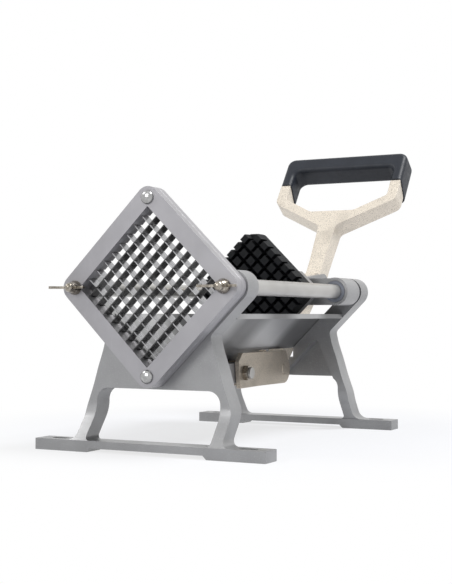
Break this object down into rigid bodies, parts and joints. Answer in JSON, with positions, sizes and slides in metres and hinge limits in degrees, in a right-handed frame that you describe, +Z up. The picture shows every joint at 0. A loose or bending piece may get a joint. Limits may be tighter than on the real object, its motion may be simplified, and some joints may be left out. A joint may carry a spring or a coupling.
{
  "type": "french fry cutter",
  "caption": "Hand-operated french fry cutter: diamond-set blade grid, V trough between two footed stands, and a rod-guided pusher driven by a forked lever.",
  "frame": {"origin": "under the middle of the bounding box, on the table", "axes": "+Y from the blade head towards the lever, along the guide rods; +X to the right seen from the front; +Z up"},
  "size_m": [0.2, 0.4484, 0.2753],
  "materials": {
    "cast_aluminium": "satin casting",
    "satin_steel": "turned and polished",
    "blade_steel": "ground",
    "sheet_steel": "satin sheet",
    "nickel_casting": "nickel-plated casting, satin",
    "grip_plastic": "satin moulded",
    "pusher_plastic": "matt moulded",
    "bush_plastic": "matt"
  },
  "bodies": {
    "frame": {"front_stand": "cast_aluminium", "rear_stand": "cast_aluminium", "front_plate": "cast_aluminium", "blade_holder": "cast_aluminium", "anchor_bracket": "cast_aluminium", "guide_rod_left": "satin_steel", "guide_rod_right": "satin_steel", "rear_rod_nut_left": "satin_steel", "rear_rod_nut_right": "satin_steel", "head_screw_top": "satin_steel", "head_screw_bottom": "satin_steel", "head_nut_top": "satin_steel", "head_nut_bottom": "satin_steel", "anchor_screw_left": "satin_steel", "anchor_screw_right": "satin_steel", "anchor_bolt": "satin_steel", "anchor_bolt_nut": "satin_steel", "blade_rising_1": "blade_steel", "blade_rising_2": "blade_steel", "blade_rising_3": "blade_steel", "blade_rising_4": "blade_steel", "blade_rising_5": "blade_steel", "blade_rising_6": "blade_steel", "blade_rising_7": "blade_steel", "blade_rising_8": "blade_steel", "blade_falling_1": "blade_steel", "blade_falling_2": "blade_steel", "blade_falling_3": "blade_steel", "blade_falling_4": "blade_steel", "blade_falling_5": "blade_steel", "blade_falling_6": "blade_steel", "blade_falling_7": "blade_steel", "blade_falling_8": "blade_steel", "trough": "sheet_steel"},
    "carriage": {"carriage": "cast_aluminium", "bush_left": "bush_plastic", "bush_right": "bush_plastic", "pusher_block": "pusher_plastic", "pusher_screw_1": "satin_steel", "pusher_screw_2": "satin_steel", "pusher_screw_3": "satin_steel", "pusher_screw_4": "satin_steel", "lever_pin": "satin_steel", "lever_pin_nut": "satin_steel"},
    "lever": {"lever": "nickel_casting", "grip": "grip_plastic", "lever_foot_pin": "satin_steel"},
    "link": {"link": "nickel_casting", "link_screw_left": "satin_steel", "link_screw_right": "satin_steel"},
    "wing_nut_left": {"wing_nut_left": "satin_steel"},
    "wing_nut_right": {"wing_nut_right": "satin_steel"}
  },
  "joints": [
    {"name": "carriage_slide", "type": "slide", "parent": "frame", "child": "carriage", "axis": [0, -1, 0], "range_m": [0, 0.165]},
    {"name": "lever_swing", "type": "hinge", "parent": "carriage", "child": "lever", "pos_m": [0, 0.1054, 0.134], "axis": [1, 0, 0], "range_deg": [0, 86.33]},
    {"name": "link_swing", "type": "hinge", "parent": "frame", "child": "link", "pos_m": [0, -0.0666, 0.056], "axis": [-1, 0, 0], "range_deg": [0, 12.7]},
    {"name": "wing_nut_left_turn", "type": "hinge", "parent": "frame", "child": "wing_nut_left", "pos_m": [-0.06481, -0.2096, 0.1265], "axis": [0, -1, 0], "continuous": true},
    {"name": "wing_nut_right_turn", "type": "hinge", "parent": "frame", "child": "wing_nut_right", "pos_m": [0.06481, -0.2096, 0.1265], "axis": [0, -1, 0], "continuous": true}
  ],
  "couplings": [
    {"joint": "lever_swing", "follows": "carriage_slide", "rad_per_m": 9.132},
    {"joint": "link_swing", "follows": "carriage_slide", "rad_per_m": 1.343}
  ]
}
